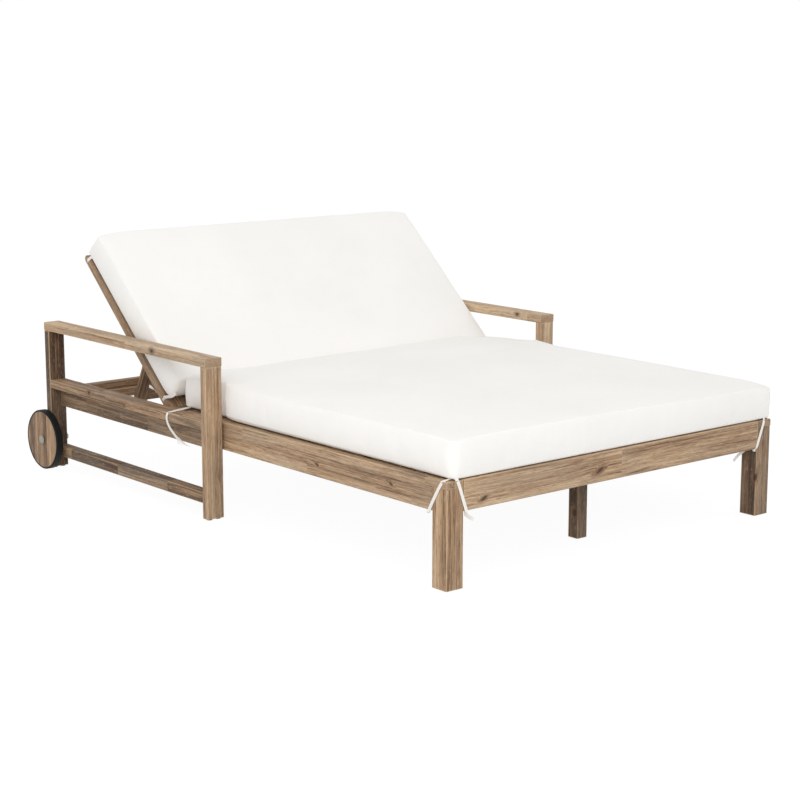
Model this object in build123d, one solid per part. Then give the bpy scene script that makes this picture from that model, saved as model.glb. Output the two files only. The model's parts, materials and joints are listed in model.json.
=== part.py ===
"""Double sun lounger in solid wood, with arms, two wheels and a folding backrest.

X runs across the lounger and Z is up. The foot end faces -Y and the head end, with
the wheels, faces +Y. While the pieces are made, Y starts at the face of the foot
rail; the whole lounger is then moved so that its origin is the middle of its
footprint on the floor. All lengths are millimetres and all angles are degrees.
"""
import os
from math import atan2, cos, degrees, hypot, pi, radians, sin

from build123d import *

# Seat frame
frame_width = 1316
seat_length = 1325
back_length = 644.2
rail_top = 297
rail_height = 86
board = 28
ease = 2.5
leg_size = 60
tongue_height = 20
middle_leg_size = 40
middle_leg_front = 148
tenon_size = 18
tenon_height = 30
ledger_width = 20
ledger_height = 28
slat_thickness = 14
seat_slat_width = 62
seat_slat_count = 13
head_rail_drop = 25.5
head_ledger_drop = 51
head_ledger_height = 18
slip = 0.3

# Arm frames
arm_gap = 8
post_width = 60
arm_length = 964
arm_top = 499
arm_thickness = 28
arm_ease = 4
mid_rail_rise = 7.5
mid_rail_height = 27
lower_rail_top = 81.5
lower_rail_height = 35
lower_rail_width = 40
glide_height = 4
glide_radius = 9
glide_flat_count = 8

# Backrest
rest_angle = 42.5
stile_depth = 25
stile_width = 60
stile_overhang = 15
swing_gap = 1.3
rebate_width = 20
bottom_rail_start = 20
bottom_rail_width = 50
top_rail_width = 50
top_rail_inset = 9
back_slat_thickness = 13
back_slat_width = 60
back_slat_count = 6
batten_width = 60

# Prop and its notched rails
prop_angle = 62.5
foot_rise = 31
prop_leg_width = 45
prop_depth = 20
prop_gap = 1.5
prop_end = 12
upper_board_width = 70
lower_board_width = 44
foot_pin_radius = 8
foot_pin_overlap = 22
foot_play = 0.3
foot_pin_socket = 30
notch_count = 5
notch_pitch = 45
notch_play = 1
notch_depth = 8

# Steel fittings
plate = 3
hinge_bolt_radius = 4
hinge_ear_radius = 10
hinge_plate_height = 30
prop_plate_length = 50
prop_flange_width = 40
head_radius = 7
head_thickness = 4
nut_radius = 7
nut_thickness = 5
nut_flat_count = 6
fit = 0.05
side_play = 0.5
joint_bolt_radius = 3
joint_bolt_length = 46
joint_bolt_head = 6
joint_bolt_inset = 60
dowel_radius = 5
dowel_length = 40
dowel_flat_count = 6

# Wheels
wheel_radius = 101
tyre_thickness = 5.5
tyre_width = 23
tyre_round = 3
wheel_disc_width = 20
wheel_stand_off = 8
axle_radius = 6
bush_radius = 12
bush_lip = 1.5
cap_radius = 16
cap_height = 3.5
cap_edge = 1.2

# Cushions and their ties
cushion_thickness = 108
cushion_crown = 12
cushion_corner = 18
cushion_bow = 4
seat_cushion_front = 3
seat_cushion_neck_inset = 36
seat_cushion_gap = 4
back_cushion_gap = 3.8
back_cushion_overhang = 14
back_cushion_squash = 25
cushion_rest = 0.3
tie_width = 10
tie_thickness = 1
tie_gap = 0.3

overrun = 5

# Places along the lounger, as shares of the length that they follow
pivot_share = 0.4145
upper_board_share = 0.285
lower_board_share = 0.7

# Places that follow from the sizes
rail_bottom = rail_top - rail_height
half_width = frame_width / 2
rail_inner = half_width - board
seam = rail_top - tongue_height
hinge_rail_rear = seat_length
hinge_rail_front = hinge_rail_rear - board
half_depth = stile_depth / 2
hinge_y = hinge_rail_rear + swing_gap + half_depth
hinge_z = rail_top - half_depth
frame_length = hinge_y + back_length
post_inner = half_width + arm_gap
post_outer = post_inner + post_width
arm_middle = (post_inner + post_outer) / 2
arm_rear = frame_length
arm_front = arm_rear - arm_length
arm_bottom = arm_top - arm_thickness
mid_rail_top = rail_top + mid_rail_rise
mid_rail_bottom = mid_rail_top - mid_rail_height
slat_bottom = rail_top - slat_thickness
head_rail_top = rail_top - head_rail_drop
head_rail_front = frame_length - board
stile_outer = half_width - (2 * side_play + plate + head_thickness)
stile_inner = stile_outer - stile_width
prop_half = prop_depth / 2
pivot_reach = pivot_share * back_length
pivot_drop = half_depth + prop_gap + max(prop_half, plate + head_radius)
pivot_radius = hypot(pivot_reach, pivot_drop)
pivot_offset = degrees(atan2(pivot_drop, pivot_reach))
pivot_y = hinge_y + pivot_radius * cos(radians(rest_angle - pivot_offset))
pivot_z = hinge_z + pivot_radius * sin(radians(rest_angle - pivot_offset))
foot_height = rail_bottom + foot_rise
prop_length = (pivot_z - foot_height) / sin(radians(prop_angle))
prop_outer = stile_inner - plate - side_play
prop_inner = prop_outer - prop_leg_width
wheel_y = frame_length - board / 2
wheel_z = wheel_radius
wheel_inner = post_outer + wheel_stand_off
wheel_outer = wheel_inner + tyre_width
wheel_middle = (wheel_inner + wheel_outer) / 2
tie_stand = tie_gap + tie_thickness
y_middle = (wheel_y + wheel_radius - tie_stand) / 2
sides = {"left": -1, "right": 1}


def save(name, *shapes):
    """Write one node, moved so that the origin is under the middle of the lounger."""
    placed = [Pos(0, -y_middle, 0) * solid for shape in shapes for solid in shape.solids()]
    export_step(Compound(children=placed), f"parts/{name}.step")


def timber(x, y, z, along, round_off=None):
    """A board between the given ends, its four long edges chamfered or, if asked, rounded."""
    spans = {"x": x, "y": y, "z": z}
    middle = {axis: (low + high) / 2 for axis, (low, high) in spans.items()}
    size = {axis: high - low for axis, (low, high) in spans.items()}
    start = dict(middle)
    start[along] = min(spans[along])
    origin = (start["x"], start["y"], start["z"])
    if along == "x":
        plane, width, height = Plane(origin, x_dir=(0, 1, 0), z_dir=(1, 0, 0)), size["y"], size["z"]
    elif along == "y":
        plane, width, height = Plane(origin, x_dir=(1, 0, 0), z_dir=(0, 1, 0)), size["x"], size["z"]
    else:
        plane, width, height = Plane(origin), size["x"], size["y"]
    if round_off:
        section = RectangleRounded(width, height, round_off)
    else:
        section = Rectangle(width, height)
        section = chamfer(section.vertices(), ease)
    return extrude(plane * section, size[along])


def block(x, y, z):
    """A plain box between the given ends, used for cuts and flat plates."""
    middle = [(low + high) / 2 for low, high in (x, y, z)]
    return Pos(*middle) * Box(x[1] - x[0], y[1] - y[0], z[1] - z[0])


def mirrored(side, near, far):
    """The span between two distances from the middle, on one side of the lounger."""
    return tuple(sorted((side * near, side * far)))


def rod(radius, start, end, flat_count=0):
    """A bar from one point to another, round or with a number of flats."""
    line = Vector(*end) - Vector(*start)
    section = RegularPolygon(radius, flat_count) if flat_count else Circle(radius)
    return extrude(Plane(start, z_dir=line) * section, line.length)


def drilled(shape, *bars):
    """The shape with a hole for each bar, given as the bar's own values."""
    for radius, *rest in bars:
        shape -= rod(radius + fit, *rest)
    return shape


def dowel(axis, joint, reach=dowel_length / 2):
    """A fluted dowel centred on a joint face, as a radius, two ends and its number of flats."""
    step = Vector(*[reach if name == axis else 0 for name in "xyz"])
    point = Vector(*joint)
    return dowel_radius, tuple(point - step), tuple(point + step), dowel_flat_count


# Dowels, listed by the joint that they hold
dowels = {"foot": [], "side": [], "hinge": [], "head": [], "arm": [], "mid": [], "lower": [], "beam": []}
dowel_rows = (rail_bottom + rail_height / 4, rail_bottom + rail_height / 2)
head_rows = (rail_bottom + rail_height / 4, rail_bottom + rail_height / 2)
for side in sides.values():
    for level in dowel_rows:
        dowels["foot"].append(dowel("x", (side * (half_width - leg_size), board / 2, level)))
        dowels["side"].append(dowel("y", (side * (half_width - board / 2), leg_size, level)))
        dowels["hinge"].append(dowel("y", (side * (half_width - board / 2), hinge_rail_front, level)))
    for level in head_rows:
        dowels["head"].append(dowel("x", (side * post_inner, frame_length - board / 2, level)))
    for end in (arm_front + board / 2, arm_rear - board / 2):
        for step in (-post_width / 4, post_width / 4):
            dowels["arm"].append(dowel("z", (side * arm_middle + step, end, arm_bottom)))
    for end in (arm_front + board, arm_rear - board):
        dowels["mid"].append(dowel("y", (side * arm_middle, end, mid_rail_top - mid_rail_height / 2)))
        level = lower_rail_top - lower_rail_height / 2
        dowels["lower"].append(dowel("y", (side * arm_middle, end, level)))
for end in (board, hinge_rail_front):
    dowels["beam"].append(dowel("y", (0, end, rail_bottom + rail_height / 2)))


# Seat frame
def side_rail(side):
    """A long rail whose top tongue runs on over the leg to the foot end."""
    rail = timber(mirrored(side, rail_inner, half_width), (0, hinge_rail_front), (rail_bottom, rail_top), "y")
    rail -= block(mirrored(side, rail_inner - overrun, half_width + overrun),
                  (-overrun, leg_size), (rail_bottom - overrun, seam))
    return drilled(rail, *dowels["side"], *dowels["hinge"], *rail_bolt_shanks)


def front_leg(side):
    """A square leg, notched at its outer top edge under the tongue of the rail."""
    leg = timber(mirrored(side, half_width - leg_size, half_width), (0, leg_size), (0, rail_top), "z")
    leg -= block(mirrored(side, rail_inner, half_width + overrun),
                 (-overrun, leg_size + overrun), (seam, rail_top + overrun))
    return drilled(leg, *dowels["foot"], *dowels["side"])


bolt_places = (hinge_rail_front - joint_bolt_inset, arm_front + board + joint_bolt_inset)
rail_bolt_shanks = []
rail_bolt_heads = []
for side in sides.values():
    for place in bolt_places:
        level = rail_bottom + rail_height * 3 / 8
        start = (side * rail_inner, place, level)
        end = (side * (rail_inner + joint_bolt_length), place, level)
        back = (side * (rail_inner - head_thickness), place, level)
        rail_bolt_shanks.append((joint_bolt_radius, start, end))
        rail_bolt_heads.append(rod(joint_bolt_head, back, start, nut_flat_count))

for name, side in sides.items():
    save(f"side_rail_{name}", side_rail(side))
    save(f"front_leg_{name}", front_leg(side))

foot_rail = timber((leg_size - half_width, half_width - leg_size), (0, board), (rail_bottom, rail_top), "x")
save("foot_rail", drilled(foot_rail, *dowels["foot"], *dowels["beam"]))

beam_half = board / 2
centre_beam = timber((-beam_half, beam_half), (board, hinge_rail_front), (rail_bottom, slat_bottom), "y")
mortise_half = tenon_size / 2 + fit
tenon_middle = middle_leg_front + middle_leg_size / 2
centre_beam -= block((-mortise_half, mortise_half), (tenon_middle - mortise_half, tenon_middle + mortise_half),
                     (rail_bottom - overrun, rail_bottom + tenon_height + fit))
save("centre_beam", drilled(centre_beam, *dowels["beam"]))

leg_half = middle_leg_size / 2
tenon_half = tenon_size / 2
middle_leg = timber((-leg_half, leg_half), (middle_leg_front, middle_leg_front + middle_leg_size),
                    (glide_height, rail_bottom), "z")
middle_leg += block((-tenon_half, tenon_half), (tenon_middle - tenon_half, tenon_middle + tenon_half),
                    (rail_bottom - overrun, rail_bottom + tenon_height))
save("middle_leg", middle_leg)

ledgers = [timber(mirrored(side, rail_inner - ledger_width, rail_inner), (leg_size, hinge_rail_front),
                  (slat_bottom - ledger_height, slat_bottom), "y") for side in sides.values()]
save("seat_ledgers", *ledgers)

slat_pitch = (hinge_rail_front - leg_size) / seat_slat_count
slat_half_length = rail_inner - slip
seat_slats = []
for number in range(seat_slat_count):
    middle = leg_size + (number + 1 / 2) * slat_pitch
    seat_slats.append(timber((-slat_half_length, slat_half_length),
                             (middle - seat_slat_width / 2, middle + seat_slat_width / 2),
                             (slat_bottom, rail_top), "x"))
save("seat_slats", *seat_slats)

# Backrest hinge: a steel clevis let into the rear face of the hinge rail
hinge_rail = timber((-half_width, half_width), (hinge_rail_front, hinge_rail_rear),
                    (rail_bottom, rail_top), "x")
clevis_inner = stile_inner - side_play
clevis_outer = stile_outer + side_play
hinge_plate_z = (hinge_z - hinge_plate_height / 2, hinge_z + stile_depth / 2 - ease)
hinge_reach = (clevis_inner - plate, clevis_outer + plate)
clevises = []
hinge_bolts = []
for side in sides.values():
    recess = block(mirrored(side, *hinge_reach), (hinge_rail_rear - plate, hinge_rail_rear + overrun),
                   hinge_plate_z)
    hinge_rail -= recess
    clevis = block(mirrored(side, *hinge_reach), (hinge_rail_rear - plate, hinge_rail_rear), hinge_plate_z)
    for near in (clevis_inner - plate, clevis_outer):
        ear = block(mirrored(side, near, near + plate), (hinge_rail_rear - plate, hinge_y),
                    (hinge_z - hinge_ear_radius, hinge_z + hinge_ear_radius))
        ear += rod(hinge_ear_radius, (side * near, hinge_y, hinge_z), (side * (near + plate), hinge_y, hinge_z))
        clevis += ear
    shank = (hinge_bolt_radius, (side * (clevis_inner - plate - nut_thickness), hinge_y, hinge_z),
             (side * (clevis_outer + plate), hinge_y, hinge_z))
    clevises.append(drilled(clevis, shank))
    bolt = rod(*shank)
    bolt += rod(head_radius, (side * (clevis_outer + plate), hinge_y, hinge_z),
                (side * (clevis_outer + plate + head_thickness), hinge_y, hinge_z), nut_flat_count)
    bolt += rod(nut_radius, (side * (clevis_inner - plate), hinge_y, hinge_z),
                (side * (clevis_inner - plate - nut_thickness), hinge_y, hinge_z), nut_flat_count)
    hinge_bolts.append(bolt)
save("hinge_rail", drilled(hinge_rail, *dowels["hinge"], *dowels["beam"]))
save("hinge_clevises", *clevises)
save("hinge_bolts", *hinge_bolts)

head_rail = timber((-post_inner, post_inner), (head_rail_front, frame_length),
                   (rail_bottom, head_rail_top), "x")
save("head_rail", drilled(head_rail, *dowels["head"]))
ledger_top = rail_top - head_ledger_drop
head_ledger = timber((-rail_inner + slip, rail_inner - slip), (head_rail_front - ledger_width, head_rail_front),
                     (ledger_top - head_ledger_height, ledger_top), "x")
save("head_ledger", head_ledger)


# Notched rails, whose tips follow the path of the prop's foot
def foot_path(angle):
    """Place of the prop's foot when the backrest stands at an angle above flat."""
    fold = radians(angle * prop_angle / rest_angle)
    lean = radians(angle - pivot_offset)
    reach = hinge_y + pivot_radius * cos(lean) + prop_length * cos(fold)
    level = hinge_z + pivot_radius * sin(lean) - prop_length * sin(fold)
    return reach, level


path_steps = 60
path = [foot_path(rest_angle * step / path_steps) for step in range(path_steps + 1)]
tip_drop = foot_pin_radius + foot_play
low_y, low_z = min(path, key=lambda point: point[1])
rest_y, rest_z = path[-1]
hollow_end = 2 * low_y - rest_y
tip_top = rest_z - tip_drop
tip_low = low_z - tip_drop
stop_top = rest_z + foot_pin_radius
notched_front = hinge_y + stile_depth / 2 + side_play
notched_rear = head_rail_front - ledger_width - slip
print("backrest hinge", round(hinge_y - y_middle, 3), hinge_z)
print("prop pivot at rest", round(pivot_y - y_middle, 3), round(pivot_z, 3))
print("prop length", round(prop_length, 3), "foot at rest", round(rest_y - y_middle, 3), round(rest_z, 3))
print("coupling", round((rest_angle + prop_angle) / rest_angle, 5), "whole fold", rest_angle + prop_angle)
print("wheel axle", round(wheel_y - y_middle, 3), wheel_z, "middle of length", round(y_middle, 3))


def notched_rail(side):
    """A cleat with a hollow top edge, a seat against its shoulder, and a row of notches."""
    curl = cos(radians(45))
    with BuildSketch(Plane.YZ) as profile:
        with BuildLine():
            Polyline((rest_y - tip_drop, rest_z), (rest_y - tip_drop, stop_top), (notched_front, stop_top),
                     (notched_front, rail_bottom), (notched_rear, rail_bottom), (notched_rear, tip_top),
                     (hollow_end, tip_top))
            ThreePointArc((hollow_end, tip_top), (low_y, tip_low), (rest_y, tip_top))
            ThreePointArc((rest_y, tip_top), (rest_y - tip_drop * curl, rest_z - tip_drop * curl),
                          (rest_y - tip_drop, rest_z))
        make_face()
    rail = extrude(profile.sketch, board, dir=(side, 0, 0)).moved(Location((side * rail_inner, 0, 0)))
    notch_radius = foot_pin_radius + notch_play
    for number in range(1, notch_count):
        place = rest_y + number * notch_pitch
        share = (place - low_y) / (rest_y - low_y)
        tip = tip_low + (tip_top - tip_low) * min(share * share, 1)
        centre = tip - notch_depth + notch_radius
        rail -= rod(notch_radius, (side * (rail_inner - overrun), place, centre),
                    (side * (half_width + overrun), place, centre))
    return rail


for name, side in sides.items():
    save(f"notched_rail_{name}", notched_rail(side))


# Arm frames
def post(side, front):
    """An upright board on two glides, with its wide face to the foot end."""
    upright = timber(mirrored(side, post_inner, post_outer), (front, front + board),
                     (glide_height, arm_bottom), "z")
    return drilled(upright, *dowels["arm"], *dowels["mid"], *dowels["lower"], *dowels["head"], *axle_shanks)


axle_inner = post_inner - nut_thickness
axle_outer = wheel_outer + slip
axle_shanks = [(axle_radius, (side * axle_inner, wheel_y, wheel_z), (side * axle_outer, wheel_y, wheel_z))
               for side in sides.values()]
glides = []
for name, side in sides.items():
    save(f"front_post_{name}", post(side, arm_front))
    save(f"rear_post_{name}", post(side, arm_rear - board))
    arm = timber(mirrored(side, post_inner, post_outer), (arm_front, arm_rear), (arm_bottom, arm_top), "y",
                 arm_ease)
    save(f"arm_{name}", drilled(arm, *dowels["arm"]))
    inner_span = (arm_front + board, arm_rear - board)
    mid_rail = timber(mirrored(side, post_inner, post_outer), inner_span, (mid_rail_bottom, mid_rail_top), "y")
    save(f"mid_rail_{name}", drilled(mid_rail, *dowels["mid"]))
    apron = timber(mirrored(side, half_width, half_width + board), inner_span,
                   (rail_bottom, mid_rail_bottom), "y")
    save(f"apron_{name}", drilled(apron, *rail_bolt_shanks))
    lower_rail = timber(mirrored(side, arm_middle - lower_rail_width / 2, arm_middle + lower_rail_width / 2),
                        inner_span, (lower_rail_top - lower_rail_height, lower_rail_top), "y")
    save(f"lower_rail_{name}", drilled(lower_rail, *dowels["lower"]))
    for front in (arm_front, arm_rear - board):
        for step in (-post_width / 4, post_width / 4):
            foot = (side * arm_middle + step, front + board / 2, 0)
            glides.append(rod(glide_radius, foot, (foot[0], foot[1], glide_height), glide_flat_count))
glides.append(rod(glide_radius, (0, tenon_middle, 0), (0, tenon_middle, glide_height), glide_flat_count))
save("glides", *glides)
save("dowels", *[rod(*bar) for group in dowels.values() for bar in group])
save("rail_bolts", *[rod(*shank) + head for shank, head in zip(rail_bolt_shanks, rail_bolt_heads)])


# Wheels
def revolved(points, side):
    """Turn an outline, of distances from the axle and along it, round the axle."""
    corners = [(side * along, wheel_y + radius, wheel_z) for radius, along in points]
    face = make_face(Polyline(*corners, close=True))
    return revolve(face, Axis((0, wheel_y, wheel_z), (1, 0, 0)), 360)


disc_radius = wheel_radius - tyre_thickness
disc_inner = wheel_middle - wheel_disc_width / 2
disc_outer = wheel_middle + wheel_disc_width / 2
for name, side in sides.items():
    bore = bush_radius + fit
    save(f"wheel_disc_{name}", revolved([
        (bore, disc_inner), (disc_radius, disc_inner), (disc_radius, disc_outer), (bore, disc_outer)], side))
    save(f"wheel_tyre_{name}", revolved([
        (disc_radius, wheel_inner), (wheel_radius, wheel_inner), (wheel_radius, wheel_outer - tyre_round),
        (wheel_radius - tyre_round, wheel_outer), (disc_radius, wheel_outer)], side))
    axle_hole = axle_radius + fit
    save(f"wheel_bush_{name}", revolved([
        (axle_hole, disc_inner - bush_lip), (bush_radius, disc_inner - bush_lip), (bush_radius, disc_outer),
        (axle_hole, disc_outer)], side))

axles = []
caps = []
spacers = []
spacer_outer = disc_inner - bush_lip - slip
for side, shank in zip(sides.values(), axle_shanks):
    axle_nut = rod(2 * axle_radius, (side * post_inner, wheel_y, wheel_z), shank[1], nut_flat_count)
    axles.append(rod(*shank) + axle_nut)
    spacers.append(revolved([(axle_hole, post_outer), (bush_radius, post_outer),
                             (bush_radius, spacer_outer), (axle_hole, spacer_outer)], side))
    caps.append(revolved([(0, axle_outer), (cap_radius, axle_outer), (cap_radius, axle_outer + cap_edge),
                          (cap_radius - 2 * cap_edge, axle_outer + cap_height - cap_edge / 2),
                          (cap_radius / 2, axle_outer + cap_height), (0, axle_outer + cap_height)], side))
save("wheel_axles", *axles)
save("wheel_spacers", *spacers)
save("axle_caps", *caps)


# Backrest, made lying flat with the hinge axis at the origin, then raised
slats_start = bottom_rail_start + bottom_rail_width
top_rail_end = back_length - top_rail_inset
slats_end = top_rail_end - top_rail_width
rebate_floor = half_depth - back_slat_thickness


def on_back(shape):
    """Raise a piece of the flat backrest to its angle, about the hinge axis."""
    return Pos(0, hinge_y, hinge_z) * Rot(rest_angle, 0, 0) * shape


def stile(side):
    """A flat board with round ends, rebated along its inner edge for the slats."""
    middle = (stile_inner + stile_outer) / 2
    length = back_length + stile_overhang - half_depth
    plane = Plane((side * stile_inner, 0, 0), x_dir=(0, 1, 0), z_dir=(side, 0, 0))
    outline = Plane.YZ * (Pos(length / 2, 0) * SlotCenterToCenter(length, stile_depth))
    blank = extrude(outline, stile_width).moved(Location((middle - stile_width / 2, 0, 0)))
    if side < 0:
        blank = mirror(blank, Plane.YZ)
    blank -= block(mirrored(side, stile_inner - overrun, stile_inner + rebate_width),
                   (slats_start, slats_end), (rebate_floor, half_depth + overrun))
    bolt = (hinge_bolt_radius, (side * (stile_inner - overrun), 0, 0), (side * (stile_outer + overrun), 0, 0))
    return drilled(blank, bolt)


for name, side in sides.items():
    save(f"back_stile_{name}", on_back(stile(side)))
back_span = (-stile_inner, stile_inner)
save("back_bottom_rail",
     on_back(timber(back_span, (bottom_rail_start, slats_start), (-half_depth, half_depth), "x")))
save("back_top_rail", on_back(timber(back_span, (slats_end, top_rail_end), (-half_depth, half_depth), "x")))
slat_span = stile_inner + rebate_width - slip
back_pitch = (slats_end - slats_start) / back_slat_count
back_slats = []
for number in range(back_slat_count):
    middle = slats_start + (number + 1 / 2) * back_pitch
    back_slats.append(on_back(timber((-slat_span, slat_span),
                                     (middle - back_slat_width / 2, middle + back_slat_width / 2),
                                     (rebate_floor, half_depth), "x")))
save("back_slats", *back_slats)
save("back_batten", on_back(timber((-batten_width / 2, batten_width / 2), (slats_start, slats_end),
                                   (-half_depth, rebate_floor), "y")))

# Angle plates that hang the prop under the stiles, and the bolts it turns on
prop_plates = []
prop_bolts = []
for side in sides.values():
    along = (pivot_reach - prop_plate_length / 2, pivot_reach + prop_plate_length / 2)
    angle_plate = block(mirrored(side, stile_inner - plate, stile_inner - plate + prop_flange_width), along,
                        (-half_depth - plate, -half_depth))
    angle_plate += block(mirrored(side, stile_inner - plate, stile_inner), along, (-pivot_drop, -half_depth))
    angle_plate += block(mirrored(side, stile_inner - plate, stile_inner),
                         (pivot_reach - prop_end, pivot_reach + prop_end),
                         (-pivot_drop - prop_end, -half_depth))
    shank = (hinge_bolt_radius, (side * (prop_inner - side_play - nut_thickness), pivot_reach, -pivot_drop),
             (side * stile_inner, pivot_reach, -pivot_drop))
    prop_plates.append(on_back(drilled(angle_plate, shank)))
    bolt = rod(*shank) + rod(head_radius, (side * stile_inner, pivot_reach, -pivot_drop),
                             (side * (stile_inner + head_thickness), pivot_reach, -pivot_drop), nut_flat_count)
    bolt += rod(nut_radius, (side * (prop_inner - side_play), pivot_reach, -pivot_drop),
                (side * (prop_inner - side_play - nut_thickness), pivot_reach, -pivot_drop), nut_flat_count)
    prop_bolts.append(on_back(bolt))
save("prop_plates", *prop_plates)
save("prop_bolts", *prop_bolts)


# Prop, made lying along +Y with its pivot at the origin, then turned down
def on_prop(shape):
    """Turn a piece of the prop to its angle, about the pivot."""
    return Pos(0, pivot_y, pivot_z) * Rot(-prop_angle, 0, 0) * shape


foot_pins = []
for name, side in sides.items():
    leg = timber(mirrored(side, prop_inner, prop_outer), (-prop_end, prop_length + prop_end),
                 (-prop_half, prop_half), "y")
    pin = (foot_pin_radius, (side * (prop_outer - foot_pin_socket), prop_length, 0),
           (side * (rail_inner + foot_pin_overlap), prop_length, 0))
    pivot = (hinge_bolt_radius, (side * (prop_inner - overrun), 0, 0), (side * (prop_outer + overrun), 0, 0))
    save(f"prop_leg_{name}", on_prop(drilled(leg, pin, pivot)))
    foot_pins.append(on_prop(rod(*pin)))
save("prop_foot_pins", *foot_pins)
prop_span = (-prop_inner, prop_inner)
for name, share, width in (("upper", upper_board_share, upper_board_width),
                           ("lower", lower_board_share, lower_board_width)):
    start = share * prop_length
    save(f"prop_board_{name}", on_prop(timber(prop_span, (start, start + width), (-prop_half, prop_half), "x")))


# Cushions: crowned, with rounded edges and sides drawn in between the corners
def cushion_face(corners, inset, level):
    """One level of a cushion: its outline moved inwards, with bowed sides and round corners."""
    count = len(corners)
    points = [Vector(x, y, 0) for x, y in corners]
    along = [(points[(i + 1) % count] - points[i]).normalized() for i in range(count)]
    inward = [Vector(-step.Y, step.X, 0) for step in along]
    moved = [points[i] + (inward[i - 1] + inward[i]) * inset + Vector(0, 0, level) for i in range(count)]
    lengths = [(moved[(i + 1) % count] - moved[i]).length for i in range(count)]
    rounds = [min(cushion_corner, corner_share * lengths[i - 1], corner_share * lengths[i])
              for i in range(count)]
    edges = []
    for i in range(count):
        start = moved[i] - along[i - 1] * rounds[i]
        end = moved[i] + along[i] * rounds[i]
        centre = start + along[i] * rounds[i]
        middle = centre + (moved[i] - centre).normalized() * rounds[i]
        edges.append(Edge.make_three_point_arc(start, middle, end))
        after = (i + 1) % count
        stop = moved[after] - along[i] * rounds[after]
        dip = cushion_bow * lengths[i] / max(lengths)
        edges.append(Edge.make_three_point_arc(end, (end + stop) * (1 / 2) + inward[i] * dip, stop))
    return Face(Wire(edges))


def cushion(corners, squash=0):
    """A box cushion lofted through its levels, lying on the XY plane, with a squashed near end."""
    near = min(y for x, y in corners)
    faces = []
    for inset_share, level_share, crown_share in level_shares:
        level = level_share * cushion_thickness + crown_share * cushion_crown
        pressed = [(x, y + squash * (level_share - 1)) if y == near else (x, y) for x, y in corners]
        faces.append(cushion_face(pressed, inset_share * cushion_corner, level))
    return loft(faces, ruled=True)


# Most of a side that a round corner may take
corner_share = 0.4
# How far each level lies inside the outline and how high it is, as shares of the
# corner radius, of the thickness and of the crown
level_shares = [(1.3, 0.0, 0), (0.2, 0.14, 0), (-0.1, 0.5, 0), (0.0, 0.85, 0), (0.7, 1.0, 0), (5.0, 1.0, 1.0)]

wide = half_width
neck = half_width - seat_cushion_neck_inset
step = arm_front - seat_cushion_gap
seat_rear = hinge_rail_front
seat_outline = [(-wide, seat_cushion_front), (wide, seat_cushion_front), (wide, step), (neck, step),
                (neck, seat_rear), (-neck, seat_rear), (-neck, step), (-wide, step)]
save("seat_cushion", Pos(0, 0, rail_top + cushion_rest) * cushion(seat_outline))

# The front of the back cushion starts where it clears the seat cushion, which presses
# it up, so its rear reaches lower
back_half = half_width
back_face = half_depth + cushion_rest
reach_forward = (back_face + cushion_thickness) * sin(radians(rest_angle))
back_start = (reach_forward + back_cushion_gap - (hinge_y - seat_rear)) / cos(radians(rest_angle))
back_end = back_length + back_cushion_overhang
back_outline = [(-back_half, back_start), (back_half, back_start),
                (back_half, back_end), (-back_half, back_end)]
save("back_cushion", on_back(Pos(0, 0, back_face) * cushion(back_outline, back_cushion_squash)))
print("back cushion from", round(back_start, 2), "to", round(back_end, 2), "up the stile")


# Ties: flat tapes sewn to the corners of the cushions
def tape(points, normal):
    """A flat tape through points in one plane, on the side that the normal points to."""
    whole = None
    for start, end in zip(points, points[1:]):
        line = Vector(*end) - Vector(*start)
        plane = Plane(start, x_dir=line, z_dir=normal)
        strip = plane * (Pos(line.length / 2, 0) * Rectangle(line.length + tie_width, tie_width))
        piece = extrude(strip, tie_thickness)
        whole = piece if whole is None else whole + piece
    return whole


# Where the tapes of the seat cushion run, as shares of the rail's height: inwards
# and down from the top corner of the foot rail, back and down along the side rail,
# and forwards and down from the top of the mid rail
foot_tape_shares = {"left": [(0.0, 0.1), (-0.41, -1.0), (-0.41, -1.1), (-0.77, -1.3)],
                    "right": [(0.0, 0.1), (-0.41, -0.94), (-1.18, -0.98), (-1.63, -1.25)]}
side_tape_shares = [(0.3, 0.0), (0.8, -0.95)]
rear_tape_shares = [(0.0, -0.04), (-0.06, -0.16), (-0.33, -0.62), (-0.83, -0.97)]
seat_ties = []
rear_tape_y = seat_rear - rail_height / 2
for name, side in sides.items():
    foot_points = [(side * (rail_inner + share * rail_height), -tie_gap, rail_top + drop * rail_height)
                   for share, drop in foot_tape_shares[name]]
    seat_ties.append(tape(foot_points, (0, -1, 0)))
    face = side * (half_width + tie_gap)
    side_points = [(face, share * rail_height, rail_top + drop * rail_height)
                   for share, drop in side_tape_shares]
    seat_ties.append(tape(side_points, (side, 0, 0)))
    face = side * (post_outer + tie_gap)
    rear_points = [(face, rear_tape_y + share * rail_height, mid_rail_top + drop * rail_height)
                   for share, drop in rear_tape_shares]
    across = side * (post_outer + tie_stand - tie_width / 2)
    over = tape([(side * (neck + tie_width), seat_rear - tie_width, mid_rail_top + tie_gap),
                 (across, rear_tape_y, mid_rail_top + tie_gap)], (0, 0, 1))
    seat_ties.append(over + tape([(face, rear_tape_y, mid_rail_top + tie_stand - tie_width / 2)] + rear_points,
                                 (side, 0, 0)))
save("seat_ties", *seat_ties)

# Each tape of the back cushion comes down the outer face of a stile from the cushion to its back
back_ties = []
tape_top = half_depth - tie_width / 2
tape_bottom = tie_width / 2 - half_depth
for side in sides.values():
    face = side * (stile_outer + tie_gap)
    for place in (back_start - back_cushion_squash / 2, back_length - half_depth):
        back_ties.append(on_back(tape([(face, place, tape_top), (face, place, tape_bottom)], (side, 0, 0))))
save("back_ties", *back_ties)
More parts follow.
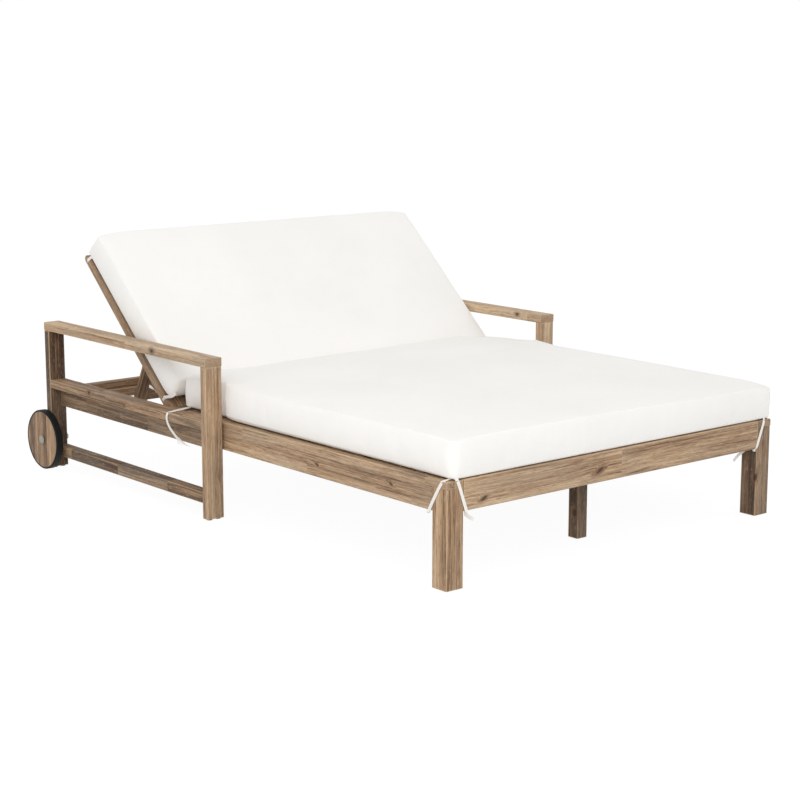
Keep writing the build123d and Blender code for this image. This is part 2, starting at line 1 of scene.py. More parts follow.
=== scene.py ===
# %% [markdown]
# A double sun lounger in oiled acacia, with off-white cushions.
# The pieces with a real shape and size were made in CAD, and come in as a fixed frame.
# This lesson gives each of them its finish, and makes what CAD only stood in for: the
# two stuffed cushions and the flat tapes that tie them down.

# %% Load the frame
import json
from math import cos, pi, radians, sin

import bmesh
import bpy
from mathutils import Matrix, Vector
from mathutils.geometry import intersect_point_line
from mathutils.noise import noise as noise_at


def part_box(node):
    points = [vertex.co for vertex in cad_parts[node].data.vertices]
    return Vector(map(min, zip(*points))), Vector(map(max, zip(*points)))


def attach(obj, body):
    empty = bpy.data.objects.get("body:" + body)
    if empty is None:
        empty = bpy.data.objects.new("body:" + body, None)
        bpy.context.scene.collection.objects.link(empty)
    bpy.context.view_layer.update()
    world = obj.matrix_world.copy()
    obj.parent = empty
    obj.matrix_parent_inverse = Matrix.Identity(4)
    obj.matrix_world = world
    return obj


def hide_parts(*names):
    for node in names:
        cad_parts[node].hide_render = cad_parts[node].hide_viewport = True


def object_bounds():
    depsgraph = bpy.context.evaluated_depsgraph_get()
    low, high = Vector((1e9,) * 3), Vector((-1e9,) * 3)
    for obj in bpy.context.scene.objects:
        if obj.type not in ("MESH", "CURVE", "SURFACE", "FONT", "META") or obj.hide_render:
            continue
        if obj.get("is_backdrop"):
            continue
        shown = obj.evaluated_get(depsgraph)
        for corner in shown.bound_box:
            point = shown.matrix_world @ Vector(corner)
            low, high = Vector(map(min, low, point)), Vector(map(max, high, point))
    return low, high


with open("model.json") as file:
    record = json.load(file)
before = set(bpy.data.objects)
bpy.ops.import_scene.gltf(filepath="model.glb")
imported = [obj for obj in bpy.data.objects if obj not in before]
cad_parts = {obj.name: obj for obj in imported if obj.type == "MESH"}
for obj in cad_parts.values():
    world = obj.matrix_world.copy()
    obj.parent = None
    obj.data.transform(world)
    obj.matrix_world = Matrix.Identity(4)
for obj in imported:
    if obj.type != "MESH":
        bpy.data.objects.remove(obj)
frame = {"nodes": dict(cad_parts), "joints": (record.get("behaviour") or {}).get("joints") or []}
nodes = frame["nodes"]
cad_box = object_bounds()
scene = bpy.context.scene
scene.view_settings.view_transform = "Standard"

# %% [markdown]
# The camera stands low beside the near foot corner, with a long lens, so that the long
# edges hardly converge. Its place and turn were solved from the straight edges of the
# lounger in the photograph. Found by eye, they would put every length a little off.

# %% Camera
camera_place = (-3.8221, -4.63565, 1.4493)
camera = bpy.data.objects.new("camera", bpy.data.cameras.new("camera"))
camera.data.lens = 84.65
camera.data.sensor_width = 36
camera.location = camera_place
camera.rotation_euler = (radians(79.011), 0, radians(-39.837))
scene.collection.objects.link(camera)
scene.camera = camera
print("camera at", camera_place)

# %% [markdown]
# Materials are small graphs of nodes. They could be drawn by hand in the editor, but every
# board of the lounger needs its own, so code builds them. A few helpers keep that
# readable: they add and wire nodes, do a step of arithmetic or make noise.


# %% Helpers for nodes
def wire(tree, node, inputs):
    """Give a node its inputs: numbers, colours or the outputs of other nodes."""
    for place, value in dict(inputs).items():
        if isinstance(value, bpy.types.NodeSocket):
            tree.links.new(value, node.inputs[place])
        else:
            node.inputs[place].default_value = value


def add(tree, kind, inputs=(), output=0, **settings):
    """Add one shader node, wire it, and hand back one of its outputs."""
    node = tree.nodes.new("ShaderNode" + kind)
    for name, value in settings.items():
        setattr(node, name, value)
    wire(tree, node, inputs)
    return node.outputs[output]


def sums(tree, operation, *values, clamp=False):
    """One step of arithmetic on numbers."""
    return add(tree, "Math", enumerate(values), operation=operation, use_clamp=clamp)


def places(tree, operation, *values):
    """One step of arithmetic on places and directions."""
    return add(tree, "VectorMath", enumerate(values), operation=operation)


def parts_of(tree, place):
    """The three values of a place."""
    return add(tree, "SeparateXYZ", {0: place}).node.outputs


def own_place(tree, lean=0, kind="Object"):
    """A point's place on its piece, or its normal, turned upright if the piece leans."""
    place = add(tree, "TexCoord", output=kind)
    if lean:
        turn = {"Vector": place, "Angle": -radians(lean)}
        place = add(tree, "VectorRotate", turn, rotation_type="X_AXIS")
    return place


def noise(tree, place, scale, detail=2.0, roughness=0.5, away=None):
    """Cloudy noise with its own scale each way. Away reads it elsewhere in the cloud."""
    place = places(tree, "MULTIPLY", place, scale)
    if away:
        place = places(tree, "ADD", place, away)
    cloud = {"Vector": place, "Scale": 1.0, "Detail": detail, "Roughness": roughness}
    return add(tree, "TexNoise", cloud)


def step(tree, value, low, high):
    """A soft step from 0 at the low value to 1 at the high one."""
    limits = {0: value, 1: low, 2: high}
    return add(tree, "MapRange", limits, interpolation_type="SMOOTHSTEP")


print("helpers for nodes ready")

# %% [markdown]
# Colours are written as the eye reads them in a picture, from 0 to 255. Blender works with
# linear values, so one helper converts them. The others mix colours or finish a piece.


# %% Helpers for colours and finishes
def seen(red, green, blue):
    """A colour as the eye reads it, from 0 to 255, in Blender's linear values."""
    shares = (value / 255 for value in (red, green, blue))
    return (*(((share + 0.055) / 1.055) ** 2.4 for share in shares), 1.0)


def blend(tree, factor, first, second, blend_type="MIX"):
    """Mix two colours."""
    colours = {0: factor, 6: first, 7: second}
    return add(tree, "Mix", colours, output=2, data_type="RGBA", blend_type=blend_type)


def tint(tree, colour, where, amount, other):
    """Lay another colour over one, where a mask says so and by an amount at most."""
    return blend(tree, sums(tree, "MULTIPLY", where, amount), colour, other)


def ramp(tree, value, stops):
    """Turn a value into a colour along a row of stops."""
    socket = add(tree, "ValToRGB", {0: value})
    elements = socket.node.color_ramp.elements
    elements[0].position, elements[0].color = stops[0]
    elements[1].position, elements[1].color = stops[-1]
    for position, colour in stops[1:-1]:
        elements.new(position).color = colour
    return socket


def finish_of(name):
    """A new material, with its tree and its shader."""
    material = bpy.data.materials.new(name)
    material.use_nodes = True
    tree = material.node_tree
    return material, tree, tree.nodes["Principled BSDF"]


def raise_grain(tree, shader, height, distance):
    """Let a height in the range 0 to 1 stand up by a distance in metres."""
    bump = add(tree, "Bump", {"Height": height, "Distance": distance, "Strength": 1.0})
    tree.links.new(bump, shader.inputs["Normal"])


def dress(material, *names):
    """Give CAD pieces a material in their slots."""
    for name in names:
        for place in nodes[name].material_slots:
            place.material = material


print("helpers for finishes ready")

# %% [markdown]
# The studio is a white room. What the camera, or a shiny piece, sees of the world is pure
# white, while the light that falls on the lounger is a little less, so that the cushions
# keep their shading. A brighter world would give the same white, but would wash them out.


# %% World
def rays(tree, *kinds):
    """One for rays of these kinds, and zero for all others."""
    path = tree.nodes.new("ShaderNodeLightPath")
    either = 0.0
    for kind in kinds:
        either = sums(tree, "MAXIMUM", either, path.outputs[f"Is {kind} Ray"])
    return either


room_light = 0.825
white = (1, 1, 1, 1)
scene.world = bpy.data.worlds.new("white room")
scene.world.use_nodes = True
tree = scene.world.node_tree
shown = rays(tree, "Camera", "Glossy", "Transmission")
strength = add(tree, "MapRange", {0: shown, 3: room_light, 4: 1.0})
wire(tree, tree.nodes["Background"], {"Color": white, "Strength": strength})
print("room light", room_light)

# %% [markdown]
# The floor looks white too, and keeps only a faint shadow. A white floor under this light
# would come out grey, so to the camera it is a dark floor with a white glow added: the
# glow fills it up to white, and the little light that it reflects draws the shadow. The
# lounger itself is lit by a plain pale floor.

# %% Floor
floor_size = 12
floor_bounce = 0.85
shadow_depth = 0.08
full_white = 1.02
light_on_floor = 0.85
floor_glow = full_white - shadow_depth * light_on_floor


def as_piece(name, shape):
    """A bmesh as a new object in the scene."""
    mesh = bpy.data.meshes.new(name)
    shape.to_mesh(mesh)
    shape.free()
    piece = bpy.data.objects.new(name, mesh)
    scene.collection.objects.link(piece)
    return piece


shape = bmesh.new()
bmesh.ops.create_grid(shape, x_segments=1, y_segments=1, size=floor_size)
floor = as_piece("floor", shape)
material, tree, shader = finish_of("pale floor")
shown = rays(tree, "Camera", "Glossy")
colour = blend(tree, shown, (floor_bounce,) * 3 + (1,), (shadow_depth,) * 3 + (1,))
wire(tree, shader, {"Base Color": colour, "Roughness": 1.0, "Specular IOR Level": 0.0})
glow = add(tree, "Emission", {"Color": white, "Strength": floor_glow})
lit = add(tree, "AddShader", {0: shader.outputs[0], 1: glow})
surface = add(tree, "MixShader", {0: shown, 1: shader.outputs[0], 2: lit})
wire(tree, tree.nodes["Material Output"], {"Surface": surface})
floor.data.materials.append(material)
floor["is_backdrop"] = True
print("floor glows at", round(floor_glow, 3))

# %% [markdown]
# A wide lamp beyond the near foot corner gives the faces that turn towards it a slight
# lead. A small lamp would do that as well, but with hard shadows.

# %% Lamp
lamp_place = Vector((-4.2, -4.6, 3.7))
lamp_aim = Vector((0, 0, 0.3))
lamp_name = "lamp beyond the near corner"
lamp = bpy.data.objects.new(lamp_name, bpy.data.lights.new(lamp_name, "AREA"))
lamp.data.size = 4.0
lamp.data.energy = 136
lamp.location = lamp_place
lamp.rotation_euler = (lamp_place - lamp_aim).to_track_quat("Z", "Y").to_euler()
lamp.visible_camera = False
scene.collection.objects.link(lamp)
print("lamp of", lamp.data.energy, "W")

# %% [markdown]
# Acacia is sold as boards glued up from short staves, and each stave has its own tone.
# Along a stave run soft bands, thin dark streaks and short pores. Oil and weather turn the
# wood a little grey, sawn ends are darker, and handled edges wear pale; that pale edge
# also stands in as a painted highlight along each arris. These are its colours, from the
# dark of a band to the light one.

# %% Colours of the wood
grain_stops = [
    (0.22, seen(72, 54, 42)),
    (0.36, seen(120, 94, 72)),
    (0.48, seen(164, 133, 103)),
    (0.60, seen(190, 160, 128)),
    (0.76, seen(214, 189, 157)),
]
warm_stave = seen(255, 247, 236)
cool_stave = seen(246, 246, 250)
dark_streak = seen(82, 62, 47)
pore_shade = seen(92, 70, 53)
pale_fleck = seen(218, 198, 170)
weathered = seen(160, 146, 127)
# Pale of worn edges, and also a painted highlight along each arris.
worn_edge_and_highlight = seen(212, 184, 148)
end_grain = seen(126, 98, 74)
knot_halo = seen(112, 82, 58)
knot_heart = seen(58, 42, 34)
print("the grain runs over", len(grain_stops), "tones")

# %% [markdown]
# A picture of wood could be laid on each board, but it would tear at the corners and
# repeat. Solid noise is cut open by every face instead, so the grain runs round the
# corners as it does in real timber. It works in a board's own directions: x along the
# grain, y across the rows of staves and z through the thickness. Each stave differs by
# chance, and is cut from its own part of the noise. Near a knot the grain swerves.

# %% Grain
stagger = 0.618
grain_swerve = 0.022
knot_swerve = 0.012


def stave_chances(tree, given):
    """Three values by chance for the stave that a point is in."""
    place = parts_of(tree, given["Board"])
    row = sums(tree, "ADD", sums(tree, "DIVIDE", place[1], given["Row"]), given["Shift"])
    row = sums(tree, "FLOOR", row)
    from_joint = sums(tree, "SUBTRACT", place[0], given["Joint"])
    along = sums(tree, "DIVIDE", from_joint, given["Stave"])
    stave = sums(tree, "FLOOR", sums(tree, "MULTIPLY_ADD", row, stagger, along))
    name = add(tree, "CombineXYZ", {0: stave, 1: row, 2: given["Seed"]})
    return add(tree, "TexWhiteNoise", {"Vector": name}, output="Color")


def grain(tree, given, chances):
    """The four patterns of a stave: bands, streaks, pores and wide patches."""
    board = given["Board"]
    away = places(tree, "MULTIPLY", chances, (9.0, 7.0, 5.0))

    def pattern(place, along, across, detail, roughness=0.5):
        return noise(tree, place, (along, across, across), detail, roughness, away)

    swerve = pattern(board, along=2.2, across=9.0, detail=1.0)
    at_knots = sums(tree, "MULTIPLY", given["Knot"], knot_swerve)
    swerve = sums(tree, "MULTIPLY_ADD", swerve, grain_swerve, at_knots)
    bent = places(tree, "ADD", board, add(tree, "CombineXYZ", {1: swerve, 2: swerve}))
    bands = pattern(bent, along=0.9, across=34.0, detail=2.0)
    streaks = pattern(bent, along=5.0, across=190.0, detail=4.0, roughness=0.68)
    pores = pattern(bent, along=38.0, across=700.0, detail=1.0)
    patches = pattern(board, along=3.0, across=11.0, detail=2.0)
    return bands, streaks, pores, patches


print("staves are staggered by", stagger)

# %% [markdown]
# Bands and streaks give each point its place between the dark and the light tone. A board
# can be set lighter or darker as a whole, and each stave is warmer or cooler by chance.
# Dark streaks, pores and pale flecks are laid over that one by one, as a painter glazes,
# because each can then be set without changing the others.

# %% Colour of the staves
band_share = 0.65
streak_share = 0.85
middle_tone = -0.25
stave_spread = 0.10
cast_share = 0.55


def stave_colour(tree, given, chances, bands, streaks):
    """The colour of a stave by its bands and streaks, with a slight cast."""
    luck = parts_of(tree, chances)
    value = sums(tree, "MULTIPLY_ADD", bands, band_share, middle_tone)
    value = sums(tree, "MULTIPLY_ADD", streaks, streak_share, value)
    value = sums(tree, "MULTIPLY_ADD", sums(tree, "SUBTRACT", luck[0], 0.5), stave_spread, value)
    value = sums(tree, "ADD", value, given["Tone"])
    cast = blend(tree, luck[1], warm_stave, cool_stave)
    return blend(tree, cast_share, ramp(tree, value, grain_stops), cast, "MULTIPLY")


def glazed(tree, given, colour, streaks, pores, patches):
    """The colour with dark streaks, pores, pale flecks and patches of grey."""
    colour = tint(tree, colour, step(tree, streaks, 0.42, 0.28), 0.75, dark_streak)
    colour = tint(tree, colour, step(tree, pores, 0.44, 0.32), 0.5, pore_shade)
    colour = tint(tree, colour, step(tree, pores, 0.62, 0.74), 0.5, pale_fleck)
    return tint(tree, colour, step(tree, patches, 0.35, 0.7), given["Grey"], weathered)


print("staves differ by", stave_spread, "of the tones")

# %% [markdown]
# Hands and weather rub the arrises of a board pale, and the same pale band is a painted
# highlight, where a rounded arris would catch the light. Its sawn ends drink more oil and
# go dark. This needs no mesh of its own, because the material finds the edges: inside a
# box, the second smallest distance to a side is the one to the nearest edge. A knot is a
# dark heart in a paler halo.

# %% Edges, ends and knots
ragged_edge = 0.005
# Over these distances from an edge, wear and a painted edge highlight fade in.
wear_and_highlight_from, wear_and_highlight_fully = 0.0062, 0.0022
end_skin = (0.0006, 0.0003)


def worn_lit_edges_and_ends(tree, given, colour, patches):
    """The colour with worn edges, which are also a painted edge highlight, and dark ends."""
    reach = parts_of(tree, places(tree, "ABSOLUTE", given["Board"]))
    half = parts_of(tree, given["Half size"])
    gaps = [sums(tree, "SUBTRACT", half[axis], reach[axis]) for axis in range(3)]
    smaller = sums(tree, "MINIMUM", gaps[0], gaps[1])
    larger = sums(tree, "MAXIMUM", gaps[0], gaps[1])
    to_edge = sums(tree, "MAXIMUM", smaller, sums(tree, "MINIMUM", larger, gaps[2]))
    to_edge = sums(tree, "MULTIPLY_ADD", patches, ragged_edge, to_edge)
    # Worn edges turn pale, which also paints a highlight along each arris.
    colour = tint(tree, colour, step(tree, to_edge, wear_and_highlight_from, wear_and_highlight_fully), 0.6, worn_edge_and_highlight)
    return tint(tree, colour, step(tree, gaps[0], *end_skin), 0.35, end_grain)


def knotted(tree, given, colour):
    """The colour with a halo and a heart at each knot."""
    colour = tint(tree, colour, step(tree, given["Knot"], 0.0, 0.55), 0.5, knot_halo)
    return tint(tree, colour, step(tree, given["Knot"], 0.56, 0.8), 0.85, knot_heart)


print("edges are worn over", wear_and_highlight_from, "m")

# %% [markdown]
# All of that goes into one shared group, so that a change reaches every board. Pale
# streaks are a little smoother and stand up, and pores lie deep.


# %% The shared group
def wood_group():
    """The shared group that grows acacia in a board's own directions."""
    tree = bpy.data.node_groups.new("acacia", "ShaderNodeTree")
    for name in ("Board", "Half size"):
        tree.interface.new_socket(name, in_out="INPUT", socket_type="NodeSocketVector")
    for name in ("Stave", "Row", "Shift", "Joint", "Seed", "Tone", "Grey", "Knot"):
        tree.interface.new_socket(name, in_out="INPUT", socket_type="NodeSocketFloat")
    for name, kind in (("Colour", "Color"), ("Roughness", "Float"), ("Height", "Float")):
        tree.interface.new_socket(name, in_out="OUTPUT", socket_type="NodeSocket" + kind)
    given = tree.nodes.new("NodeGroupInput").outputs
    chances = stave_chances(tree, given)
    bands, streaks, pores, patches = grain(tree, given, chances)
    colour = stave_colour(tree, given, chances, bands, streaks)
    colour = glazed(tree, given, colour, streaks, pores, patches)
    colour = worn_lit_edges_and_ends(tree, given, colour, patches)
    colour = knotted(tree, given, colour)
    roughness = sums(tree, "MULTIPLY_ADD", streaks, -0.3, 0.78)
    raised_streaks = sums(tree, "MULTIPLY", streaks, 0.7)
    deep_pores = sums(tree, "MULTIPLY", step(tree, pores, 0.44, 0.32), 0.3)
    height = sums(tree, "SUBTRACT", raised_streaks, deep_pores)
    leaving = tree.nodes.new("NodeGroupOutput")
    wire(tree, leaving, {"Colour": colour, "Roughness": roughness, "Height": height})
    return tree


acacia = wood_group()
print("acacia has", len(acacia.nodes), "nodes")

# %% [markdown]
# A board has to know which way it lies. Letters name the axes along the grain, across the
# rows and through the thickness, and a leaning board is first turned upright by its angle.
# Knots and joints are given where they show on a face, in millimetres from the foot end,
# because that is how they were read from the photograph.

# %% How a board lies
axes = {"x": 0, "y": 1, "z": 2}
foot_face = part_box("foot_rail")[0].y


def on_foot(x, y, z):
    """A place measured in millimetres from the foot end, in the frame's metres."""
    return Vector((x / 1000, y / 1000 + foot_face, z / 1000))


def board_frame(name, lean):
    """The turn that sets a node upright, and its middle and half size after that."""
    turn = Matrix.Rotation(-radians(lean), 3, "X")
    points = [turn @ vertex.co for vertex in nodes[name].data.vertices]
    low = Vector([min(point[axis] for point in points) for axis in range(3)])
    high = Vector([max(point[axis] for point in points) for axis in range(3)])
    return turn, (low + high) / 2, (high - low) / 2


def in_order(place, lie):
    """A place's three values in the order along, across and through."""
    return Vector([place[axes[letter]] for letter in lie])


print("foot end at", round(foot_face, 4), "m")

# %% [markdown]
# Knots make a board recognisable, so the ones that show in the photograph are set one by one.
# A knot is the trace of a branch, which is drawn out along the grain and leans a little.
# Noise could strew knots about, but not at these places.

# %% Knots
knot_slant = radians(-24)
knot_long, knot_wide = 2.2, 0.8
knots_on = {
    "foot_rail": [(on_foot(-85, 0, 246), 0.020), (on_foot(-525, 0, 236), 0.016)],
    "front_leg_right": [(on_foot(596, 2, 118), 0.024)],
    "middle_leg": [(on_foot(-20, 161, 80), 0.022)],
    "mid_rail_left": [(on_foot(-726, 1701, 298), 0.015)],
    "arm_left": [(on_foot(-726, 1313, 486), 0.018)],
    "arm_right": [(on_foot(666, 1139, 490), 0.014)],
    "side_rail_left": [(on_foot(-658, 561, 248), 0.013), (on_foot(-658, 230, 252), 0.012),
                       (on_foot(-658, 1133, 278), 0.014)],
    "front_post_left": [(on_foot(-672, 1034, 150), 0.026)],
}


def knot_mask(tree, place, spots):
    """A value that climbs to 1 at the heart of each knot."""
    knot = 0.0
    for centre, size in spots:
        offset = places(tree, "SUBTRACT", place, centre)
        turn = {"Vector": offset, "Angle": knot_slant}
        offset = add(tree, "VectorRotate", turn, rotation_type="Z_AXIS")
        shrink = (1 / (knot_long * size), 1 / (knot_wide * size), 1 / size)
        offset = places(tree, "MULTIPLY", offset, shrink)
        distance = add(tree, "VectorMath", {0: offset}, output="Value", operation="LENGTH")
        here = sums(tree, "SUBTRACT", 1.0, distance, clamp=True)
        knot = sums(tree, "MAXIMUM", knot, here)
    return knot


print(sum(len(spots) for spots in knots_on.values()), "knots set by hand")

# %% [markdown]
# Each board gets a material of its own from the group, with its own seed, so that no two
# boards are alike. A joint is a place where one stave ends. A stave longer than the board
# leaves it in one piece. Round pieces, and slats that share a node, have no worn edges and
# no painted edge highlight, because their box is not their shape.

# %% A board
seeds = iter(range(1, 200))
one_stave = 60.0
far_edges = Vector((0, 1, 1))


def board(name, lie, lean=0, stave=one_stave, joint=None, rows=1, row_size=None, tone=0.0,
          grey=0.3, worn=True):
    """Grow wood on one node, along its own grain."""
    turn, middle, half = board_frame(name, lean)
    material, tree, shader = finish_of("wood of " + name)
    parts = parts_of(tree, places(tree, "SUBTRACT", own_place(tree, lean), middle))
    ordered = {order: parts[axes[letter]] for order, letter in enumerate(lie)}
    place = add(tree, "CombineXYZ", ordered)
    half = in_order(half, lie)
    spots = [(in_order(turn @ spot - middle, lie), size) for spot, size in knots_on.get(name, ())]
    group = tree.nodes.new("ShaderNodeGroup")
    group.node_tree = acacia
    wire(tree, group, {
        "Board": place,
        # Without worn edges the box is widened, so that no wear and no painted edge highlight
        # reach its faces.
        "Half size": half if worn else half + far_edges,
        "Stave": stave,
        "Row": row_size or 2 * half[1] / rows,
        "Shift": 0.5 * (rows % 2),
        "Joint": in_order(turn @ joint - middle, lie)[0] if joint else stave / 3,
        "Seed": float(next(seeds)),
        "Tone": tone,
        "Grey": grey,
        "Knot": knot_mask(tree, place, spots),
    })
    wire(tree, shader, {"Base Color": group.outputs["Colour"],
                        "Roughness": group.outputs["Roughness"], "Specular IOR Level": 0.3})
    raise_grain(tree, shader, group.outputs["Height"], 0.0006)
    dress(material, name)


print("a board of one stave counts as", one_stave, "m long")

# %% [markdown]
# Now every wooden piece is given its board. The tones follow the photograph, where the arms
# are the palest and the rear posts the darkest. The backrest leans by its raised angle,
# and the prop under it leans the other way.

# %% Boards of the sides
lean = 42.5
prop_lean = -62.5
leg_tones = {"left": 0.05, "right": -0.17}
apron_joint = on_foot(0, 1411, 0)
lower_joint = on_foot(0, 1256, 0)
for side in ("left", "right"):
    board(f"side_rail_{side}", "yzx", stave=0.84, rows=2, tone=0.05)
    board(f"front_leg_{side}", "zxy", tone=leg_tones[side])
    board(f"front_post_{side}", "zxy", tone=0.03)
    board(f"rear_post_{side}", "zxy", tone=-0.26)
    board(f"arm_{side}", "yxz", stave=0.62, tone=0.13, grey=0.35)
    board(f"mid_rail_{side}", "yxz", stave=0.5, tone=-0.07)
    board(f"apron_{side}", "yzx", stave=0.373, joint=apron_joint, tone=-0.14)
    board(f"lower_rail_{side}", "yzx", stave=0.294, joint=lower_joint, tone=-0.13)
    board(f"notched_rail_{side}", "yzx", tone=-0.02)
    board(f"back_stile_{side}", "yxz", lean=lean, tone=-0.05, worn=False)
    board(f"prop_leg_{side}", "yxz", lean=prop_lean, tone=-0.08, grey=0.1)
    board(f"wheel_disc_{side}", "zyx", rows=3, tone=-0.07, grey=0.15, worn=False)
print("boards of both sides have their grain")

# %% [markdown]
# The pieces between the sides come once each. Slats are one node, so each slat is taken as
# a row of its own, and the two ledgers are parted into rows by the middle of the lounger.

# %% Boards between the sides
board("foot_rail", "xzy", stave=0.62, joint=on_foot(4, 0, 0), tone=0.07)
board("hinge_rail", "xzy", stave=0.6, tone=-0.04)
board("head_rail", "xzy", stave=0.5, rows=3, tone=-0.03)
board("head_ledger", "xyz", tone=-0.05)
board("centre_beam", "yzx", stave=0.5, tone=-0.04)
board("middle_leg", "zxy", tone=-0.23)
board("seat_ledgers", "yxz", row_size=1.0, rows=2, tone=-0.04, worn=False)
board("seat_slats", "xyz", rows=13, tone=-0.02, worn=False)
board("back_slats", "xyz", lean=lean, rows=6, tone=-0.04, worn=False)
board("back_batten", "yxz", lean=lean, tone=-0.04)
for name in ("back_bottom_rail", "back_top_rail"):
    board(name, "xyz", lean=lean, tone=-0.05)
for name in ("prop_board_upper", "prop_board_lower"):
    board(name, "xyz", lean=prop_lean, tone=-0.12, grey=0.0)
board("dowels", "xyz", row_size=1.0, worn=False)
print("wooden pieces have their grain")

# %% [markdown]
# The tyre is a dull rubber band that has picked up a little dust, the bushes and glides
# are black moulded plastic, and the bolts, clevises, angle plates and axle caps are
# stainless steel, brushed and slightly smudged. Plain black and grey would look like
# plastic toys, so each has a fine noise in its height and a wide one in its colour or
# gloss.


# %% Rubber, plastic and steel
def rubber():
    """A matt near-black rubber with a bluish cast."""
    material, tree, shader = finish_of("tyre rubber")
    dust = noise(tree, own_place(tree), (40.0,) * 3, 4.0, 0.6)
    grit = noise(tree, own_place(tree), (900.0,) * 3, 1.0)
    colour = ramp(tree, dust, [(0.35, seen(8, 9, 10)), (0.7, seen(20, 21, 22))])
    dull = sums(tree, "MULTIPLY_ADD", dust, 0.3, 0.5)
    wire(tree, shader, {"Base Color": colour, "Roughness": dull, "Specular IOR Level": 0.25})
    raise_grain(tree, shader, grit, 0.0002)
    return material


def plastic():
    """A black moulded plastic with a fine skin."""
    material, tree, shader = finish_of("black plastic")
    skin = noise(tree, own_place(tree), (1500.0,) * 3, 1.0)
    colour = ramp(tree, skin, [(0.3, seen(26, 26, 27)), (0.7, seen(42, 42, 44))])
    wire(tree, shader, {"Base Color": colour, "Roughness": 0.5})
    raise_grain(tree, shader, skin, 0.0001)
    return material


def steel():
    """Stainless steel with fine brush lines and faint smudges."""
    material, tree, shader = finish_of("brushed steel")
    lines = noise(tree, own_place(tree), (200.0, 3000.0, 200.0))
    smudge = noise(tree, own_place(tree), (60.0,) * 3)
    colour = ramp(tree, smudge, [(0.35, seen(138, 133, 121)), (0.65, seen(166, 161, 150))])
    dull = sums(tree, "MULTIPLY_ADD", smudge, 0.25, 0.25)
    wire(tree, shader, {"Base Color": colour, "Roughness": dull, "Metallic": 1.0})
    raise_grain(tree, shader, lines, 0.00004)
    return material


dress(rubber(), "wheel_tyre_left", "wheel_tyre_right")
dress(plastic(), "glides", "wheel_bush_left", "wheel_bush_right", "wheel_spacers")
dress(steel(), "axle_caps", "wheel_axles", "hinge_clevises", "hinge_bolts", "prop_plates",
      "prop_bolts", "prop_foot_pins", "rail_bolts")
print("hard pieces have their finish")

# %% [markdown]
# The covers are a plain polyester weave in off-white. Up close the threads cross at less
# than a millimetre, far too fine for a mesh, so the weave is a product of two waves in the
# material, with a slub here and there.

# %% Weave
thread_pitch = 0.0011


def weave(tree, place, pitch):
    """Threads over and under each other, as a height from 0 to 1."""
    turns = places(tree, "MULTIPLY", place, (2 * pi / pitch,) * 3)
    waves = [sums(tree, "SINE", part) for part in parts_of(tree, turns)]
    level = sums(tree, "MULTIPLY", waves[0], waves[1])
    upright = sums(tree, "MULTIPLY", sums(tree, "ADD", waves[0], waves[1]), waves[2])
    return sums(tree, "MULTIPLY_ADD", sums(tree, "ADD", level, upright), 0.2, 0.5)


print("threads are", thread_pitch, "m apart")

# %% [markdown]
# Where the panels are sewn together the cloth is doubled and catches the light, so the
# cover carries an attribute that is one along its seams, and the material lifts the cloth
# there and paints a highlight along it. Fine upright creases gather here and there in the
# side bands, which the material knows by their level normals.

# %% Cover cloth
fold_scale = (26.0, 26.0, 4.0)
fold_depth = 1.6
crease_scale = (130.0, 130.0, 5.0)
crease_depth = 1.4
cloth_light = seen(250, 248, 245)
cloth_shade = seen(247, 245, 241)
# A painted highlight for the seams.
painted_seam_highlight = seen(255, 254, 251)
slub_height, thread_height, seam_height = 0.12, 0.18, 0.8


def side_folds(tree, place, lean):
    """Soft folds and gathered creases, as a height in the side bands alone."""
    facing = own_place(tree, lean, "Normal")
    upright = step(tree, sums(tree, "ABSOLUTE", parts_of(tree, facing)[2]), 0.8, 0.3)
    folds = noise(tree, place, fold_scale, 1.0)
    gathered = step(tree, noise(tree, place, (6.0,) * 3, 1.0), 0.5, 0.62)
    creases = sums(tree, "MULTIPLY", noise(tree, place, crease_scale, 1.0), gathered)
    creases = sums(tree, "MULTIPLY", creases, crease_depth)
    return sums(tree, "MULTIPLY", sums(tree, "MULTIPLY_ADD", folds, fold_depth, creases), upright)


def fabric(name, lean):
    """Off-white cover cloth with a painted highlight along its seams."""
    material, tree, shader = finish_of(name)
    place = own_place(tree, lean)
    slub = noise(tree, place, (25.0, 400.0, 400.0))
    seam_ridge_and_highlight = add(tree, "Attribute", output=2, attribute_name="seam")
    stops = [(0.35, cloth_shade), (0.65, cloth_light)]
    colour = ramp(tree, noise(tree, place, (3.0,) * 3), stops)
    colour = tint(tree, colour, step(tree, slub, 0.5, 0.75), 0.3, cloth_shade)
    # Paint a highlight along the seams.
    colour = tint(tree, colour, seam_ridge_and_highlight, 0.6, painted_seam_highlight)
    height = sums(tree, "MULTIPLY", weave(tree, place, thread_pitch), thread_height)
    height = sums(tree, "MULTIPLY_ADD", slub, slub_height, height)
    height = sums(tree, "ADD", side_folds(tree, place, lean), height)
    height = sums(tree, "MULTIPLY_ADD", seam_ridge_and_highlight, seam_height, height)
    wire(tree, shader, {"Base Color": colour, "Roughness": 0.9, "Specular IOR Level": 0.2,
                        "Sheen Weight": 0.1})
    raise_grain(tree, shader, height, 0.001)
    return material


seat_cloth = fabric("seat cover", 0)
back_cloth = fabric("back cover", lean)
print("cover cloth ready")

# %% [markdown]
# A box cushion is foam in a sewn cover. The seams hold its edges nearly straight, and the
# stuffing swells the panels between them. So the cover is modelled as a plain box with
# soft corners and crisp seams, and cut into even cells, which cloth needs to swell evenly.
# A voxel remesh would give even cells too, but it would melt the seams.

# %% A cover with crisp seams
cell = 0.02
seam_round = 0.006
corner_round = 0.020
step_round = 0.007
narrow_side = 0.05
sharp_angle = 1.0
cut_snap = 0.0008


def round_off(shape, edges, radius, segments=6):
    """Round some edges of a shape."""
    return bmesh.ops.bevel(shape, geom=edges, offset=radius, segments=segments,
                           affect="EDGES", profile=0.5, material=-1)


